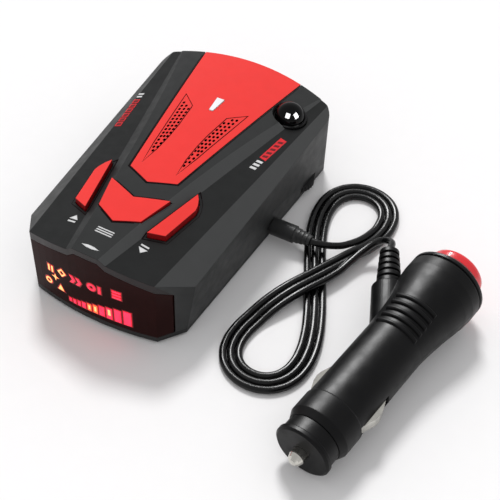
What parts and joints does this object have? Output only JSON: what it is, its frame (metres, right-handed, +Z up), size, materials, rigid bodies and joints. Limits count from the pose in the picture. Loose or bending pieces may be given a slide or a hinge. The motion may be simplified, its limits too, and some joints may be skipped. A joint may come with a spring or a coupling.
{
  "type": "radar detector",
  "caption": "Dash-top radar detector with a red perforated top, three keys, a lit display window and a coiled lead ending in a 12 V vehicle plug with a push button.",
  "frame": {"origin": "middle of the case seen from above, on the surface that the anti-slip pad rests on", "axes": "+Z up, display facing -Y, +X to the right when looking at the display's back, towards the power lead"},
  "size_m": [0.151, 0.1376, 0.0369],
  "materials": {
    "case_plastic": "fine satin texture",
    "base_plastic": "satin",
    "pad_rubber": "matte",
    "red_plastic": "satin gloss",
    "badge_plate": "polished",
    "smoked_window": "smoked, glossy",
    "red_filter": "smoked red, glossy",
    "dome_black": "high gloss",
    "ring_black": "satin",
    "wheel_black": "gloss",
    "screw_steel": "zinc plated",
    "board_green": "solder resist",
    "led_red": "lit",
    "switch_grey": "stamped",
    "speaker_black": "matte",
    "horn_zinc": "die cast zinc",
    "sensor_black": "moulded",
    "clear_plastic": "clear",
    "pot_black": "moulded",
    "jack_black": "moulded",
    "cord_pvc": "glossy PVC",
    "plug_black": "satin moulded",
    "collar_black": "gloss",
    "button_red": "gloss, translucent",
    "contact_nickel": "nickel plated",
    "fuse_glass": "glass tube with metal caps"
  },
  "bodies": {
    "housing": {"top_shell": "case_plastic", "bottom_shell": "base_plastic", "anti_slip_pad": "pad_rubber", "top_panel": "red_plastic", "badge": "badge_plate", "display_window": "smoked_window", "rear_lens": "red_filter", "dome_lens": "dome_black", "dome_ring": "ring_black", "case_screws": "screw_steel", "main_board": "board_green", "board_screws": "screw_steel", "display_board": "board_green", "led_array": "led_red", "key_board": "board_green", "key_screws": "screw_steel", "key_switches": "switch_grey", "speaker": "speaker_black", "horn_antenna": "horn_zinc", "laser_sensor": "sensor_black", "light_pipe": "clear_plastic", "volume_pot": "pot_black", "dc_jack": "jack_black", "dc_plug": "jack_black", "cord_lead": "cord_pvc", "cord_hank": "cord_pvc", "cord_tail": "cord_pvc", "strain_relief": "plug_black", "plug_body": "plug_black", "plug_collar": "collar_black", "nose_nut": "collar_black", "tip_spring": "screw_steel", "fuse": "fuse_glass"},
    "up_key": {"up_button": "red_plastic"},
    "menu_key": {"menu_button": "red_plastic"},
    "down_key": {"down_button": "red_plastic"},
    "volume_dial": {"volume_wheel": "wheel_black"},
    "plug_switch": {"plug_button": "button_red"},
    "plug_tip": {"tip_pin": "contact_nickel"},
    "contact_left": {"side_contact_left": "contact_nickel"},
    "contact_right": {"side_contact_right": "contact_nickel"}
  },
  "joints": [
    {"name": "up_press", "type": "slide", "parent": "housing", "child": "up_key", "axis": [0, 0, -1], "range_m": [0, 0.0008], "stiffness_N_per_m": 600},
    {"name": "menu_press", "type": "slide", "parent": "housing", "child": "menu_key", "axis": [0, 0, -1], "range_m": [0, 0.0008], "stiffness_N_per_m": 600},
    {"name": "down_press", "type": "slide", "parent": "housing", "child": "down_key", "axis": [0, 0, -1], "range_m": [0, 0.0008], "stiffness_N_per_m": 600},
    {"name": "volume_turn", "type": "hinge", "parent": "housing", "child": "volume_dial", "pos_m": [0.0306, 0.036, 0.005], "axis": [0, 0, 1], "range_deg": [-135, 135]},
    {"name": "plug_switch_press", "type": "slide", "parent": "housing", "child": "plug_switch", "axis": [-0.1735, -0.984, -0.0412], "range_m": [0, 0.0018], "stiffness_N_per_m": 900},
    {"name": "tip_press", "type": "slide", "parent": "housing", "child": "plug_tip", "axis": [0.1735, 0.984, 0.0412], "range_m": [0, 0.003], "stiffness_N_per_m": 900},
    {"name": "left_contact_flex", "type": "slide", "parent": "housing", "child": "contact_left", "axis": [0.9848, -0.1736, 0], "range_m": [0, 0.0009], "stiffness_N_per_m": 2000},
    {"name": "right_contact_flex", "type": "slide", "parent": "housing", "child": "contact_right", "axis": [-0.9848, 0.1736, 0], "range_m": [0, 0.0009], "stiffness_N_per_m": 2000}
  ]
}
